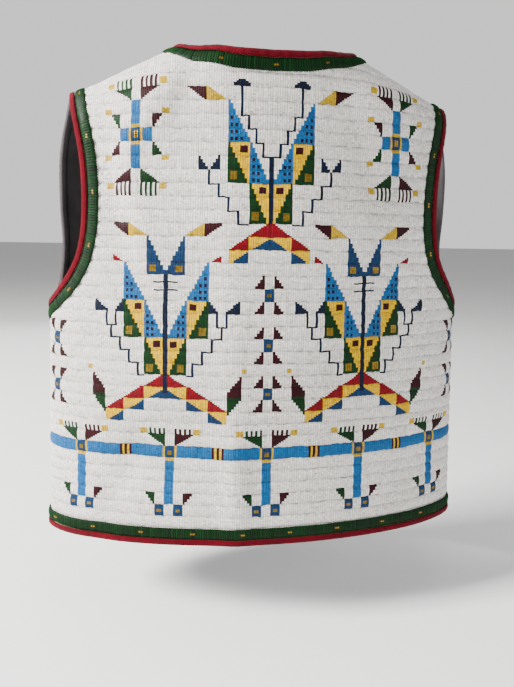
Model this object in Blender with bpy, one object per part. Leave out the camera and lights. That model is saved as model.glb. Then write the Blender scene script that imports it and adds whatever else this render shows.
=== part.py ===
# Beaded vest, worn open, filled out with no wearer.
# Three beaded hide panels (back and two fronts) with raised lanes, a charcoal
# lining behind each, and every free edge finished with a lane of green beads
# and a red cloth binding. +Z up, the fronts face -Y, +X is the wearer's left.
# The origin is midway between the shoulders, where the wearer holds it up.
import math

import bmesh
import bpy
import numpy as np
from mathutils import Vector
from mathutils.geometry import delaunay_2d_cdt

# Driving sizes, in metres
LANE = 0.013
QUARTER_ROUND = 0.2625
HALF_WIDTH = 0.2367
HALF_DEPTH = 0.0834
PLAN_POWER = 1.8
FLARE_PER_METRE = 0.189
CHEST_UP = 0.2418
SHOULDER_RISE = 0.0555
SHOULDER_POWER = 2.15
NECK_POINT_X = 0.0966
NECK_POINT_UP = 0.5246
SHOULDER_SLOPE = 0.453
SIDE_DIP = 0.004
FRONT_EDGE = 0.006
FRONT_CORNER = 0.034
SEAM_GAP = 0.0003

# Heights of each layer's faces over the crests of the lanes
RIB_DEPTH = 0.0008
PANEL_INSIDE = -0.0028
LINING_OUTSIDE = -0.0036
LINING_INSIDE = -0.0047
TRIM_CLEARANCE = 0.0008
BINDING_TOP = 0.0020
EDGE_LANE_SHOULDER = 0.0020
EDGE_LANE_CROWN = 0.0029
EDGE_LANE_BEVEL = 0.0008

# Widths of the edging, measured in from the cloth's edge, and where the lanes start
BINDING_OVERHANG = 0.0012
BINDING_CLEARANCE = 0.0004
BINDING_WIDTH = 0.0060
EDGE_LANE_START = 0.0064
EDGE_LANE_END = 0.0188
LANES_START = 0.0208

# Height of the origin over the hem: the inside of the shoulder, half way out
ORIGIN_UP = 0.497

# Lines that the panels are cut along for their curved form, from the centre
COLUMNS = (0.0, 0.052, 0.104, 0.148, 0.182, 0.21, 0.233, 0.25)
COARSE_ROW = 0.039
SHOULDER_ROW = 0.0135
COARSE_MARGIN = 0.006

# Edges of the cut: across is from the centre line, up is from the hem and
# follows the cloth. None stands for the shoulder seam.
EDGE_TABLES = {
    "back_neck": {
        "across": (0.0, 0.028, 0.042, 0.055, 0.070, 0.080, 0.087, 0.0925, 0.0965, 0.099),
        "up": (0.5085, 0.5095, 0.5110, 0.5139, 0.5169, 0.5205, 0.5255, 0.5330, 0.5460, None),
    },
    "back_armhole": {
        "across": (0.2625, 0.2420, 0.2235, 0.2112, 0.2050, 0.2010, 0.2005, 0.2035, 0.2095, 0.2170, 0.2240),
        "up": (0.2560, 0.2685, 0.2865, 0.3040, 0.3200, 0.3430, 0.3750, 0.4080, 0.4350, 0.4600, None),
    },
    "front_armhole": {
        "across": (0.2625, 0.2480, 0.2415, 0.2400, 0.2430, 0.2445, 0.2420, 0.2340, 0.2240),
        "up": (0.2560, 0.2680, 0.2950, 0.3250, 0.3600, 0.4000, 0.4300, 0.4600, None),
    },
    "front_neck": {
        "across": (0.0060, 0.0160, 0.0480, 0.0790, 0.0945, 0.0990),
        "up": (0.3100, 0.3520, 0.4050, 0.4600, 0.5200, None),
    },
}
EDGE_STEP = 0.0175
SIDE_FROM = 0.215
SIDE_CLOSER = 2.8
SHOULDER_FROM = 0.43
SHOULDER_CLOSER = 1.85
SEAM_BLEND = 0.045
STRAIGHT_STEP = 0.030
SEAM_POINTS = 9
CORNER_POINTS = 7
CURVE_STEPS = 24
BEYOND_SIDE = 0.30
NORMAL_STEP = 0.001

# Soft folds, each a trough or ridge pressed into the cloth: face is 1 on the
# back and -1 on the fronts, tilt is from upright, depth is inward.
FOLD_COLUMNS = ("face", "across", "up", "length", "width", "tilt", "depth")
FOLD_ROWS = (
    (1, 0.168, 0.395, 0.085, 0.020, 8.0, 0.0034),
    (1, 0.142, 0.365, 0.070, 0.018, 14.0, -0.0022),
    (1, 0.086, 0.478, 0.045, 0.016, -10.0, 0.0026),
    (1, 0.118, 0.110, 0.095, 0.042, -62.0, 0.0045),
    (1, 0.034, 0.060, 0.080, 0.016, 3.0, -0.0026),
    (1, -0.150, 0.300, 0.090, 0.030, -24.0, 0.0024),
    (1, -0.185, 0.120, 0.100, 0.026, 12.0, 0.0020),
    (-1, 0.165, 0.330, 0.080, 0.026, 18.0, 0.0030),
    (-1, -0.150, 0.345, 0.090, 0.024, -15.0, 0.0028),
    (-1, 0.105, 0.120, 0.100, 0.034, 6.0, -0.0030),
    (-1, -0.118, 0.105, 0.090, 0.036, -10.0, 0.0030),
)
FOLDS = [dict(zip(FOLD_COLUMNS, row)) for row in FOLD_ROWS]
FOLD_FADE = 0.03

COLOURS = {
    "beads_white": ((0.74, 0.72, 0.69), 0.35),
    "beads_green": ((0.010, 0.085, 0.025), 0.30),
    "binding_red": ((0.48, 0.015, 0.035), 0.75),
    "lining_charcoal": ((0.040, 0.038, 0.042), 0.90),
}

COLLECTION = "beaded_vest"
RING_STEPS = 400
ARC_STEPS = 24


def clear_scene():
    for item in list(bpy.data.objects):
        bpy.data.objects.remove(item, do_unlink=True)


def make_ring():
    """Arc length, x and y round the chest from the centre line to past the side."""
    angle = np.linspace(0.0, math.pi, RING_STEPS)
    cosine = np.cos(angle)
    x = HALF_WIDTH * np.sin(angle) ** (2.0 / PLAN_POWER)
    y = HALF_DEPTH * np.sign(cosine) * np.abs(cosine) ** (2.0 / PLAN_POWER)
    x[-1] = 0.0
    steps = np.hypot(np.diff(x), np.diff(y))
    length = np.concatenate([[0.0], np.cumsum(steps)])
    return length * (2.0 * QUARTER_ROUND / length[-1]), x, y


RING = make_ring()


def flare(up):
    return 1.0 - FLARE_PER_METRE * (up - CHEST_UP)


def shoulder_arc(across):
    """Where the wall starts to bend over the shoulder, its depth and arc length."""
    distance = np.abs(across)
    x = np.interp(distance, RING[0], RING[1]) * flare(NECK_POINT_UP)
    start = NECK_POINT_UP - SHOULDER_SLOPE * (x - NECK_POINT_X) - SHOULDER_RISE
    depth = np.interp(distance, RING[0], RING[2]) * flare(start)
    angle = np.linspace(0.0, math.pi / 2.0, ARC_STEPS)
    along_depth = np.cos(angle) ** (2.0 / SHOULDER_POWER)
    along_rise = np.sin(angle) ** (2.0 / SHOULDER_POWER)
    along_depth[-1] = 0.0
    steps = np.hypot(np.diff(along_depth)[None, :] * depth[:, None],
                     np.diff(along_rise)[None, :] * SHOULDER_RISE)
    length = np.concatenate([np.zeros((len(depth), 1)), np.cumsum(steps, axis=1)], axis=1)
    return start, depth, length, along_depth, along_rise


def seam_up(across):
    """Distance up the cloth from the hem to the shoulder seam."""
    start, _, length, _, _ = shoulder_arc(np.atleast_1d(np.asarray(across, float)))
    return start + length[:, -1]


def base_surface(across, up, face):
    """Points on the crests of the lanes before folds, in world space."""
    start, depth, length, along_depth, along_rise = shoulder_arc(across)
    distance = np.abs(across)
    total = length[:, -1]
    over = np.maximum(0.0, up - start)
    beyond = over > total
    travelled = np.where(beyond, 2.0 * total - over, over)
    index = np.clip((length[:, 1:] < travelled[:, None]).sum(axis=1), 0, ARC_STEPS - 2)
    row = np.arange(len(index))
    low = length[row, index]
    part = (travelled - low) / (length[row, index + 1] - low)
    fraction_depth = along_depth[index] + part * (along_depth[index + 1] - along_depth[index])
    fraction_rise = along_rise[index] + part * (along_rise[index + 1] - along_rise[index])
    straight = up <= start
    height = np.where(straight, up, start + SHOULDER_RISE * fraction_rise)
    ring_x = np.interp(distance, RING[0], RING[1])
    ring_y = np.interp(distance, RING[0], RING[2])
    x = np.sign(across) * ring_x * flare(height)
    y = np.where(straight, ring_y * flare(height), depth * fraction_depth * np.where(beyond, -1.0, 1.0))
    dip = SIDE_DIP * (distance / QUARTER_ROUND) ** 2 * np.clip((CHEST_UP - height) / CHEST_UP, 0.0, 1.0)
    return np.stack([x, face * y, height - dip - ORIGIN_UP], axis=1)


def fold_height(across, up, face):
    total = np.zeros(len(across))
    for fold in FOLDS:
        if fold["face"] != face:
            continue
        tilt = math.radians(fold["tilt"])
        to_side = across - fold["across"]
        to_top = up - fold["up"]
        along = to_top * math.cos(tilt) + to_side * math.sin(tilt)
        beside = to_side * math.cos(tilt) - to_top * math.sin(tilt)
        reach = (along / fold["length"]) ** 2 + (beside / fold["width"]) ** 2
        total -= fold["depth"] * np.exp(-reach)
    return total * np.clip((QUARTER_ROUND - np.abs(across)) / FOLD_FADE, 0.0, 1.0)


def drape(across, up, height, face):
    """World points at a height over the lanes' crests."""
    across = np.asarray(across, float)
    up = np.asarray(up, float)
    side = base_surface(across + NORMAL_STEP, up, face) - base_surface(across - NORMAL_STEP, up, face)
    rise = base_surface(across, up + NORMAL_STEP, face) - base_surface(across, up - NORMAL_STEP, face)
    normal = np.cross(side, rise) * -face
    normal /= np.linalg.norm(normal, axis=1)[:, None]
    lift = np.asarray(height, float) + fold_height(across, up, face)
    return base_surface(across, up, face) + normal * lift[:, None]


def rib_height(up):
    """Height of the beadwork: down at the lanes' edges, up along their middles."""
    fraction = np.mod((np.asarray(up) - LANES_START) / LANE, 1.0)
    return -RIB_DEPTH * np.abs(2.0 * fraction - 1.0)


def smooth_curve(points, step):
    """Catmull-Rom curve through the points, cut at even steps."""
    points = np.asarray(points, float)
    padded = np.vstack([2 * points[0] - points[1], points, 2 * points[-1] - points[-2]])
    fine = []
    for i in range(len(points) - 1):
        p0, p1, p2, p3 = padded[i:i + 4]
        for t in np.linspace(0.0, 1.0, CURVE_STEPS, endpoint=False):
            fine.append(0.5 * (2 * p1 + (p2 - p0) * t + (2 * p0 - 5 * p1 + 4 * p2 - p3) * t ** 2
                               + (3 * p1 - p0 - 3 * p2 + p3) * t ** 3))
    fine.append(points[-1])
    return even_points(np.asarray(fine), step)


def even_points(line, step):
    """Points at even steps, closer where the wall curves round the side or shoulder."""
    lengths = np.linalg.norm(np.diff(line, axis=0), axis=1)
    side = line[1:, 0] > SIDE_FROM
    shoulder = line[1:, 1] > SHOULDER_FROM
    lengths = lengths * np.where(side, SIDE_CLOSER, np.where(shoulder, SHOULDER_CLOSER, 1.0))
    travelled = np.concatenate([[0.0], np.cumsum(lengths)])
    count = max(2, int(round(travelled[-1] / step)) + 1)
    wanted = np.linspace(0.0, travelled[-1], count)
    return np.stack([np.interp(wanted, travelled, line[:, i]) for i in (0, 1)], axis=1)


def table_edge(name, step=EDGE_STEP):
    """An edge of the cut from its table, ending just short of the seams."""
    table = EDGE_TABLES[name]
    points = []
    for across, up in zip(table["across"], table["up"]):
        if up is None:
            up = float(seam_up(across)[0]) - SEAM_GAP / 2.0
        points.append((min(across, QUARTER_ROUND - SEAM_GAP / 2.0), up))
    return smooth_curve(points, step)


def mirrored(line):
    return line[::-1] * np.array([-1.0, 1.0])


def hem_line(first, last):
    """Points along the hem at the panels' columns between two places."""
    side = QUARTER_ROUND - SEAM_GAP / 2.0
    marks = sorted({-side, side, *COLUMNS, *(-column for column in COLUMNS)})
    inner = [mark for mark in marks if first + 1e-6 < mark < last - 1e-6]
    return np.array([(mark, 0.0) for mark in [first, *inner, last]])


def shoulder_line(inner, outer):
    """The shoulder seam from the armhole in to the neck."""
    across = np.linspace(outer, inner, SEAM_POINTS)
    return np.stack([across, seam_up(across) - SEAM_GAP / 2.0], axis=1)


def side_line(top):
    side = QUARTER_ROUND - SEAM_GAP / 2.0
    count = int(top / COARSE_ROW)
    return np.array([(side, top * i / count) for i in range(count + 1)])


def join_lines(lines):
    joined = [lines[0]]
    for line in lines[1:]:
        same = np.linalg.norm(line[0] - joined[-1][-1]) < 1e-6
        joined.append(line[1:] if same else line)
    outline = np.vstack(joined)
    if np.linalg.norm(outline[0] - outline[-1]) < 1e-6:
        outline = outline[:-1]
    return outline


def front_run():
    """Hem, corner, front edge and neck of the left front as one edge."""
    side = QUARTER_ROUND - SEAM_GAP / 2.0
    hem = hem_line(FRONT_EDGE + FRONT_CORNER, side)[::-1]
    turns = np.radians(np.linspace(270.0, 180.0, CORNER_POINTS))
    centre = (FRONT_EDGE + FRONT_CORNER, FRONT_CORNER)
    corner = np.array([(centre[0] + FRONT_CORNER * math.cos(turn), centre[1] + FRONT_CORNER * math.sin(turn))
                       for turn in turns])
    neck = table_edge("front_neck")
    straight = even_points(np.array([corner[-1], neck[0]]), STRAIGHT_STEP)
    return join_lines([hem, corner, straight, neck])


def back_edges():
    armhole = table_edge("back_armhole")
    neck = table_edge("back_neck")
    side = QUARTER_ROUND - SEAM_GAP / 2.0
    return {
        "hem": hem_line(-side, side),
        "armhole_left": armhole,
        "neck": join_lines([neck[::-1], mirrored(neck[::-1])]),
        "armhole_right": mirrored(armhole),
    }


def back_outline():
    edges = back_edges()
    armhole = edges["armhole_left"]
    shoulder = shoulder_line(edges["neck"][0][0], armhole[-1][0])
    side = side_line(armhole[0][1])
    return join_lines([edges["hem"], side, armhole, shoulder, edges["neck"],
                       mirrored(shoulder), edges["armhole_right"], mirrored(side)])


def front_outline():
    """Outline of the left front, turned the same way round as the back's."""
    run = front_run()
    armhole = table_edge("front_armhole")
    shoulder = shoulder_line(run[-1][0], armhole[-1][0])
    side = side_line(armhole[0][1])
    return join_lines([run[::-1], side, armhole, shoulder])


def triangulate(outline, points, edges):
    """Triangles inside an outline, with the given points and lines kept."""
    count = len(outline)
    coords = [Vector(point) for point in outline] + [Vector(point) for point in points]
    lines = [(a + count, b + count) for a, b in edges]
    verts, _, faces, _, _, sources = delaunay_2d_cdt(coords, lines, [list(range(count))], 1, 1e-7)
    faces = [face for face, source in zip(faces, sources) if source]
    used = sorted({index for face in faces for index in face})
    renumber = {old: new for new, old in enumerate(used)}
    flat = np.array([verts[index][:] for index in used])
    return flat, [tuple(renumber[index] for index in face) for face in faces]


def border_loop(faces):
    """Vertices round the rim of a triangle sheet, in its faces' order."""
    after = {}
    directed = {(face[i], face[(i + 1) % 3]) for face in faces for i in range(3)}
    for a, b in directed:
        if (b, a) not in directed:
            after[a] = b
    start = min(after)
    loop = [start]
    while after[loop[-1]] != start:
        loop.append(after[loop[-1]])
    return loop


def lane_grid(top):
    """Rows along the edges and middles of the lanes, across every column."""
    marks = sorted({*COLUMNS, *(-column for column in COLUMNS)})
    marks = [-BEYOND_SIDE, *marks, BEYOND_SIDE]
    rows = np.arange(LANES_START, top, LANE / 2.0)
    points = [(mark, row) for row in rows for mark in marks]
    width = len(marks)
    edges = [(r * width + i, r * width + i + 1) for r in range(len(rows)) for i in range(width - 1)]
    return points, edges


def coarse_grid(outline, top):
    """Sparse points inside the outline, joined up the columns from the hem."""
    marks = sorted({*COLUMNS, *(-column for column in COLUMNS)})
    rows = [*np.arange(COARSE_ROW, SHOULDER_FROM - SHOULDER_ROW, COARSE_ROW),
            *np.arange(SHOULDER_FROM, top, SHOULDER_ROW)]
    points = []
    edges = []
    for mark in marks:
        before = None
        if inside(outline, mark, COARSE_MARGIN, COARSE_MARGIN / 2.0):
            before = len(points)
            points.append((mark, 0.0))
        for row in rows:
            if not inside(outline, mark, row, COARSE_MARGIN):
                before = None
                continue
            if before is not None:
                edges.append((before, len(points)))
            before = len(points)
            points.append((mark, row))
    return points, edges


def inside(outline, across, up, margin):
    """Whether a point is inside the outline by more than the margin."""
    x1, y1 = outline[:, 0], outline[:, 1]
    x2, y2 = np.roll(x1, -1), np.roll(y1, -1)
    crosses = (y1 > up) != (y2 > up)
    with np.errstate(divide="ignore", invalid="ignore"):
        where = x1 + (up - y1) * (x2 - x1) / (y2 - y1)
    if (crosses & (where > across)).sum() % 2 == 0:
        return False
    dx, dy = x2 - x1, y2 - y1
    t = np.clip(((across - x1) * dx + (up - y1) * dy) / (dx * dx + dy * dy), 0.0, 1.0)
    return float(np.min(np.hypot(x1 + t * dx - across, y1 + t * dy - up))) > margin


def make_material(name):
    material = bpy.data.materials.new(name)
    material.use_nodes = True
    colour, roughness = COLOURS[name]
    shader = material.node_tree.nodes["Principled BSDF"]
    shader.inputs["Base Color"].default_value = (*colour, 1.0)
    shader.inputs["Roughness"].default_value = roughness
    shader.inputs["Metallic"].default_value = 0.0
    material.diffuse_color = (*colour, 1.0)
    return material


def add_object(name, points, faces, material):
    mesh = bpy.data.meshes.new(name)
    mesh.from_pydata([tuple(point) for point in points], [], faces)
    work = bmesh.new()
    work.from_mesh(mesh)
    bmesh.ops.recalc_face_normals(work, faces=work.faces)
    bmesh.ops.triangulate(work, faces=[face for face in work.faces if len(face.verts) > 3])
    work.to_mesh(mesh)
    work.free()
    mesh.shade_smooth()
    mesh.set_sharp_from_angle(angle=math.radians(40.0))
    item = bpy.data.objects.new(name, mesh)
    item.data.materials.append(material)
    bpy.data.collections[COLLECTION].objects.link(item)


def sheet_pair(outline, top):
    """A fine sheet along the lanes and a sparse one with the same rim."""
    grid_points, grid_edges = lane_grid(top)
    fine, fine_faces = triangulate(outline, grid_points, grid_edges)
    rim = border_loop(fine_faces)
    rim_points = fine[rim]
    sparse, sparse_faces = triangulate(rim_points, *coarse_grid(outline, top))
    return (fine, fine_faces), (sparse, sparse_faces)


def wall_between(outer, inner, outer_height, inner_height, face, flip):
    """Closed wall from two flat sheets whose rims match."""
    sign = -1.0 if flip else 1.0
    solids = []
    for (flat, _), height in ((outer, outer_height), (inner, inner_height)):
        heights = height(flat[:, 1]) if callable(height) else np.full(len(flat), height)
        solids.append(drape(flat[:, 0] * sign, flat[:, 1], heights, face))
    count = len(solids[0])
    faces = [tuple(item) for item in outer[1]]
    faces += [tuple(count + index for index in reversed(item)) for item in inner[1]]
    outer_rim = border_loop(outer[1])
    inner_rim = border_loop(inner[1])
    places = {tuple(np.round(inner[0][index], 7)): index for index in inner_rim}
    for i, a in enumerate(outer_rim):
        b = outer_rim[(i + 1) % len(outer_rim)]
        a_in = places[tuple(np.round(outer[0][a], 7))] + count
        b_in = places[tuple(np.round(outer[0][b], 7))] + count
        faces += [(b, a, a_in), (b, a_in, b_in)]
    return np.vstack(solids), faces


def panel_and_lining(name, outline, top, face, flip, materials):
    fine, sparse = sheet_pair(outline, top)
    points, faces = wall_between(fine, sparse, rib_height, PANEL_INSIDE, face, flip)
    add_object(name + "_panel", points, faces, materials["beads_white"])
    plain = triangulate(outline, *coarse_grid(outline, top))
    points, faces = wall_between(plain, plain, LINING_OUTSIDE, LINING_INSIDE, face, flip)
    add_object(name + "_lining", points, faces, materials["lining_charcoal"])


def inward_directions(line, inward_left):
    """Directions in from an edge, square to it."""
    along = np.gradient(line, axis=0)
    along /= np.linalg.norm(along, axis=1)[:, None]
    inward = np.stack([-along[:, 1], along[:, 0]], axis=1)
    return inward if inward_left else -inward


def at_seam(point, distance, outward):
    """A place along the side or shoulder seam, measured from an edge on it."""
    side = QUARTER_ROUND - SEAM_GAP / 2.0
    if abs(abs(point[0]) - side) < 1e-5:
        return np.array([point[0], point[1] + outward * distance])
    across = point[0] + outward * distance
    return np.array([across, float(seam_up(across)[0]) - SEAM_GAP / 2.0])


def sweep(name, line, profile, inward_left, ends, face, flip, material):
    """A strip of constant section along an edge, turning to lie along the seams at its ends."""
    inward = inward_directions(line, inward_left)
    sign = -1.0 if flip else 1.0
    steps = np.linalg.norm(np.diff(line, axis=0), axis=1)
    travelled = np.concatenate([[0.0], np.cumsum(steps)])
    flats = []
    for i, point in enumerate(line):
        near_start = travelled[i] < travelled[-1] / 2.0
        end = line[0] if near_start else line[-1]
        away = travelled[i] if near_start else travelled[-1] - travelled[i]
        turn = max(0.0, 1.0 - away / SEAM_BLEND)
        for distance, _ in profile:
            seam = at_seam(end, distance, ends[0] if near_start else ends[1])
            flats.append(point + turn * (seam - end) + (1.0 - turn) * inward[i] * distance)
    flats = np.array(flats)
    heights = np.tile([height for _, height in profile], len(line))
    points = drape(flats[:, 0] * sign, flats[:, 1], heights, face)
    size = len(profile)
    faces = []
    for i in range(len(line) - 1):
        for j in range(size):
            a = i * size + j
            b = i * size + (j + 1) % size
            faces += [(a, b, b + size), (a, b + size, a + size)]
    faces.append(tuple(range(size)))
    last = (len(line) - 1) * size
    faces.append(tuple(last + j for j in reversed(range(size))))
    add_object(name, points, faces, material)


# Sections of the edging: distance in from the edge, height over the crests
BINDING_PROFILE = (
    (BINDING_WIDTH, TRIM_CLEARANCE),
    (-BINDING_CLEARANCE, TRIM_CLEARANCE),
    (-BINDING_CLEARANCE, LINING_INSIDE),
    (-BINDING_OVERHANG, LINING_INSIDE),
    (-BINDING_OVERHANG, BINDING_TOP),
    (BINDING_WIDTH, BINDING_TOP),
)

EDGE_LANE_PROFILE = (
    (EDGE_LANE_START, TRIM_CLEARANCE),
    ((EDGE_LANE_START + EDGE_LANE_END) / 2.0, TRIM_CLEARANCE),
    (EDGE_LANE_END, TRIM_CLEARANCE),
    (EDGE_LANE_END - EDGE_LANE_BEVEL, EDGE_LANE_SHOULDER),
    ((EDGE_LANE_START + EDGE_LANE_END) / 2.0, EDGE_LANE_CROWN),
    (EDGE_LANE_START + EDGE_LANE_BEVEL, EDGE_LANE_SHOULDER),
)


def edge_trims(prefix, edges, face, flip, materials):
    """The green edge lane and red binding along each free edge."""
    for label, (line, inward_left, ends) in edges.items():
        sweep(f"edge_lane_{prefix}{label}", line, EDGE_LANE_PROFILE, inward_left, ends, face, flip,
              materials["beads_green"])
        sweep(f"binding_{prefix}{label}", line, BINDING_PROFILE, inward_left, ends, face, flip,
              materials["binding_red"])


def build_back(materials):
    top = float(seam_up(EDGE_TABLES["back_neck"]["across"][-1])[0])
    panel_and_lining("back", back_outline(), top, 1, False, materials)
    edges = back_edges()
    edge_trims("back_", {
        "hem": (edges["hem"], True, (1, 1)),
        "armhole_left": (edges["armhole_left"], True, (-1, -1)),
        "armhole_right": (edges["armhole_right"], True, (1, -1)),
        "neck": (edges["neck"], True, (1, -1)),
    }, 1, False, materials)


def build_fronts(materials):
    top = float(seam_up(EDGE_TABLES["front_neck"]["across"][-1])[0])
    edges = {
        "edge": (front_run(), False, (1, 1)),
        "armhole": (table_edge("front_armhole"), True, (-1, -1)),
    }
    for name, flip in (("front_left", False), ("front_right", True)):
        panel_and_lining(name, front_outline(), top, -1, flip, materials)
        edge_trims(name + "_", edges, -1, flip, materials)


def main():
    clear_scene()
    collection = bpy.data.collections.new(COLLECTION)
    bpy.context.scene.collection.children.link(collection)
    materials = {name: make_material(name) for name in COLOURS}
    build_back(materials)
    build_fronts(materials)
    total = 0
    for item in collection.objects:
        total += len(item.data.polygons)
        print(item.name, len(item.data.polygons))
    print("triangles", total)


main()
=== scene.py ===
import math

import bpy
import numpy as np
from mathutils import Matrix, Vector
from mathutils.geometry import delaunay_2d_cdt


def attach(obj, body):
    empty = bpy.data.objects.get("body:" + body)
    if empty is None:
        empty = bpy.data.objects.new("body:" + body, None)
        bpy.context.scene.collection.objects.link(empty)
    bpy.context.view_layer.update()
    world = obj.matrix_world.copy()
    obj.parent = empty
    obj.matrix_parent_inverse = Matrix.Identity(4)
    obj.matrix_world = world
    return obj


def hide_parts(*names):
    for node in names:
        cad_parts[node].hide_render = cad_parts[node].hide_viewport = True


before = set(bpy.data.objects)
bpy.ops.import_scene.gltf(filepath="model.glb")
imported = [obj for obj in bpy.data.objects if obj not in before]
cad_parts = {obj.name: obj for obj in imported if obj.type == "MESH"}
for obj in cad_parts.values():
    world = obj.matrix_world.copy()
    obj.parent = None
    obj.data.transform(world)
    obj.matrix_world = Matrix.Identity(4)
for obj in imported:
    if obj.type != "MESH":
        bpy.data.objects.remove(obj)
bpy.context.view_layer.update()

# Beaded vest: hide panels covered in lanes of glass beads, a green bead edging,
# a red cloth binding and a charcoal lining. Sizes in metres, as in the solids.

cut = {
    "lane": 0.01306,          # one lane of beads, top to bottom
    "beadsInLane": 8,
    "string": 0.0025,         # from one string of beads to the next
    "columns": 105,           # strings from the centre line to the side seam
    "lanesUnderNeck": 36,
    "topLane": -8,            # the highest lane, over the shoulder
    "hemEdging": 0.0188,      # up to the foot of the chart's lane 34
    "quarterRound": 0.2625,   # along the cloth, from the centre line to the side
    "halfWidth": 0.2367,
    "halfDepth": 0.0834,
    "planPower": 1.8,         # 2 would make the section an ellipse
    "flare": 0.189,           # how much the section shrinks in a metre upward
    "chestUp": 0.2418,        # where the section has its given size
    "shoulderRise": 0.0555,   # height of the bend over the shoulder
    "shoulderPower": 2.15,
    "neckPointX": 0.0966,     # inner end of the shoulder line
    "neckPointUp": 0.5246,
    "shoulderSlope": 0.453,
    "sideDip": 0.004,         # the hem hangs lower by this at the sides
    "frontEdge": 0.006,       # from the centre line to a front's open edge
    "frontCorner": 0.034,
    "seamGap": 0.0003,
    "originUp": 0.497,        # from the hem up to the frame's origin
}
cut["side"] = cut["quarterRound"] - cut["seamGap"] / 2

fineness = {                  # steps along the cloth, and points on its curves
    "outline": 0.004, "strips": 0.002, "slope": 0.001, "ring": 400, "bend": 24, "curve": 24,
}
sameSpot = 1e-6               # points nearer than this are one
aboutOneTurn = 6.3            # radians
seeds = {"borders": 31, "walls": 31, "edging": 40, "binding": 60, "turned": 70}
panels = (                    # label, face, and whether a left cut is turned over
    ("back", 1, False),
    ("front_left", -1, False),
    ("front_right", -1, True),
)

edgeTables = {                # edges of the cut, None is the shoulder seam
    "backNeck": {
        "across": (0.0, 0.028, 0.042, 0.055, 0.070, 0.080, 0.087, 0.0925, 0.0965, 0.099),
        "up": (0.5085, 0.5095, 0.5110, 0.5139, 0.5169, 0.5205, 0.5255, 0.5330, 0.5460, None),
    },
    "backArmhole": {
        "across": (0.2625, 0.2420, 0.2235, 0.2112, 0.2050, 0.2010, 0.2005, 0.2035, 0.2095, 0.2170, 0.2240),
        "up": (0.2560, 0.2685, 0.2865, 0.3040, 0.3200, 0.3430, 0.3750, 0.4080, 0.4350, 0.4600, None),
    },
    "frontArmhole": {
        "across": (0.2625, 0.2480, 0.2415, 0.2400, 0.2430, 0.2445, 0.2420, 0.2340, 0.2240),
        "up": (0.2560, 0.2680, 0.2950, 0.3250, 0.3600, 0.4000, 0.4300, 0.4600, None),
    },
    "frontNeck": {
        "across": (0.0060, 0.0160, 0.0480, 0.0790, 0.0945, 0.0990),
        "up": (0.3100, 0.3520, 0.4050, 0.4600, 0.5200, None),
    },
}

foldColumns = ("face", "across", "up", "length", "width", "tilt", "depth")
foldRows = (                  # soft folds, face 1 is the back and -1 the fronts
    (1, 0.168, 0.395, 0.085, 0.020, 8.0, 0.0034),
    (1, 0.142, 0.365, 0.070, 0.018, 14.0, -0.0022),
    (1, 0.086, 0.478, 0.045, 0.016, -10.0, 0.0026),
    (1, 0.118, 0.110, 0.095, 0.042, -62.0, 0.0045),
    (1, 0.034, 0.060, 0.080, 0.016, 3.0, -0.0026),
    (1, -0.150, 0.300, 0.090, 0.030, -24.0, 0.0024),
    (1, -0.185, 0.120, 0.100, 0.026, 12.0, 0.0020),
    (-1, 0.165, 0.330, 0.080, 0.026, 18.0, 0.0030),
    (-1, -0.150, 0.345, 0.090, 0.024, -15.0, 0.0028),
    (-1, 0.105, 0.120, 0.100, 0.034, 6.0, -0.0030),
    (-1, -0.118, 0.105, 0.090, 0.036, -10.0, 0.0030),
    # smaller ones that only the cloth has
    (1, 0.152, 0.070, 0.080, 0.017, -24.0, 0.0028),
    (1, 0.036, 0.220, 0.190, 0.022, 2.0, -0.0026),
    (1, 0.031, 0.080, 0.045, 0.012, 4.0, -0.0012),
    (1, -0.095, 0.430, 0.060, 0.020, 24.0, 0.0022),
    (1, 0.125, 0.455, 0.050, 0.018, -30.0, -0.0024),
    (1, -0.200, 0.250, 0.055, 0.018, -30.0, -0.0024),
    (-1, 0.060, 0.250, 0.090, 0.020, 9.0, 0.0024),
    (-1, -0.072, 0.210, 0.080, 0.018, -16.0, 0.0026),
    (-1, 0.205, 0.210, 0.060, 0.018, 28.0, -0.0024),
)
folds = [dict(zip(foldColumns, row)) for row in foldRows]
foldFade = 0.03               # folds die away this near to a side seam


def makeRing():
    # lengths along half of the section, from the back's middle, with x and y there
    angle = np.linspace(0.0, math.pi, fineness["ring"])
    cosine = np.cos(angle)
    x = cut["halfWidth"] * np.sin(angle) ** (2 / cut["planPower"])
    y = cut["halfDepth"] * np.sign(cosine) * np.abs(cosine) ** (2 / cut["planPower"])
    x[-1] = 0.0
    length = np.concatenate([[0.0], np.cumsum(np.hypot(np.diff(x), np.diff(y)))])
    return length * (2 * cut["quarterRound"] / length[-1]), x, y


ring = makeRing()
arcAngle = np.linspace(0.0, math.pi / 2, fineness["bend"])
arcDepth = np.cos(arcAngle) ** (2 / cut["shoulderPower"])
arcDepth[-1] = 0.0
arcRise = np.sin(arcAngle) ** (2 / cut["shoulderPower"])


def flare(up):
    return 1 - cut["flare"] * (up - cut["chestUp"])


def shoulderArc(across):
    # where the wall starts to bend over the shoulder, its depth and arc length
    distance = np.abs(across)
    x = np.interp(distance, ring[0], ring[1]) * flare(cut["neckPointUp"])
    start = cut["neckPointUp"] - cut["shoulderSlope"] * (x - cut["neckPointX"]) - cut["shoulderRise"]
    depth = np.interp(distance, ring[0], ring[2]) * flare(start)
    inward = np.diff(arcDepth)[None, :] * depth[:, None]
    steps = np.hypot(inward, np.diff(arcRise)[None, :] * cut["shoulderRise"])
    length = np.concatenate([np.zeros((len(depth), 1)), np.cumsum(steps, axis=1)], axis=1)
    return start, depth, length


def seamUp(across):
    start, _, length = shoulderArc(np.atleast_1d(np.asarray(across, float)))
    return start + length[:, -1]


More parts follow.
